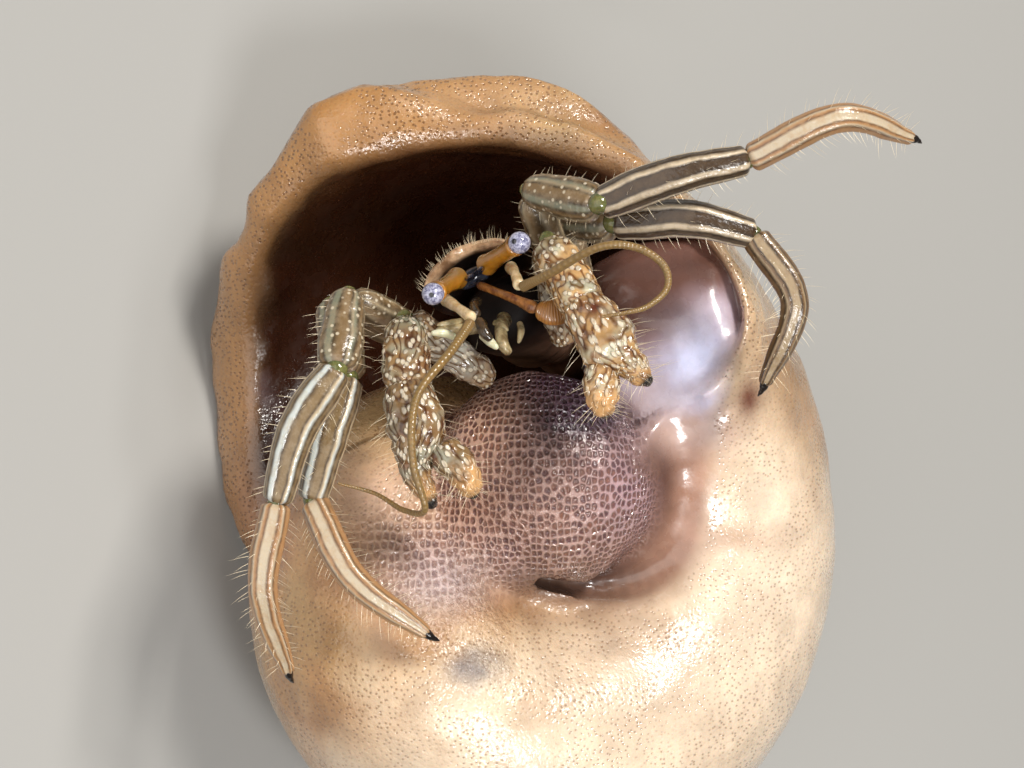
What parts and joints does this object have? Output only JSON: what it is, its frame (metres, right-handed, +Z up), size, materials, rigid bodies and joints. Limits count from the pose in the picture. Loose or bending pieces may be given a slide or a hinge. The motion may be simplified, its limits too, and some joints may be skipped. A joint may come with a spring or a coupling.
{
  "type": "hermit crab in its shell",
  "caption": "Hermit crab leaning out of an encrusted moon-snail shell: a still, life-size natural history model with striped legs, small pincers, stalked eyes and feelers.",
  "frame": {"origin": "on the floor, under the middle of the overall box", "axes": "+Z up, out of the shell's mouth; +X towards the closed round back of the last whorl, away from the lip; +Y across the mouth towards the side where the long left legs reach"},
  "size_m": [0.0494, 0.0404, 0.0368],
  "materials": {
    "shell": "wet, encrusted",
    "shield": "satin",
    "flesh": "moist",
    "leg": "wet, striped",
    "pincer": "wet, granular",
    "horn": "gloss",
    "eyestalk": "gloss",
    "cornea": "gloss",
    "antennule": "satin",
    "antenna": "satin"
  },
  "bodies": {
    "root": {"abdomen_1": "flesh", "abdomen_2": "flesh", "abdomen_3": "flesh", "antenna_left_a": "antenna", "antenna_left_b": "antenna", "antenna_left_c": "antenna", "antenna_left_stem": "antenna", "antenna_right_a": "antenna", "antenna_right_b": "antenna", "antenna_right_c": "antenna", "antenna_right_stem": "antenna", "antennule_left": "antennule", "antennule_left_tip": "antennule", "antennule_right": "antennule", "antennule_right_tip": "antennule", "carapace_rear": "flesh", "claw_left_carpus": "pincer", "claw_left_finger": "pincer", "claw_left_merus": "pincer", "claw_left_palm": "pincer", "claw_right_carpus": "pincer", "claw_right_finger": "pincer", "claw_right_merus": "pincer", "claw_right_palm": "pincer", "eye_left": "cornea", "eye_right": "cornea", "eyestalk_left": "eyestalk", "eyestalk_right": "eyestalk", "leg_2_left_carpus": "leg", "leg_2_left_claw": "horn", "leg_2_left_dactyl": "leg", "leg_2_left_merus": "leg", "leg_2_left_propodus": "leg", "leg_2_right_carpus": "leg", "leg_2_right_claw": "horn", "leg_2_right_dactyl": "leg", "leg_2_right_merus": "leg", "leg_2_right_propodus": "leg", "leg_3_left_carpus": "leg", "leg_3_left_claw": "horn", "leg_3_left_dactyl": "leg", "leg_3_left_merus": "leg", "leg_3_left_propodus": "leg", "leg_3_right_carpus": "leg", "leg_3_right_claw": "horn", "leg_3_right_dactyl": "leg", "leg_3_right_merus": "leg", "leg_3_right_propodus": "leg", "leg_4_left": "leg", "leg_4_right": "leg", "leg_5_left": "leg", "leg_5_right": "leg", "maxilliped_left": "leg", "maxilliped_right": "leg", "ocular_plates": "eyestalk", "shell": "shell", "shield": "shield", "tail_fan": "flesh", "thorax": "flesh"}
  },
  "joints": []
}
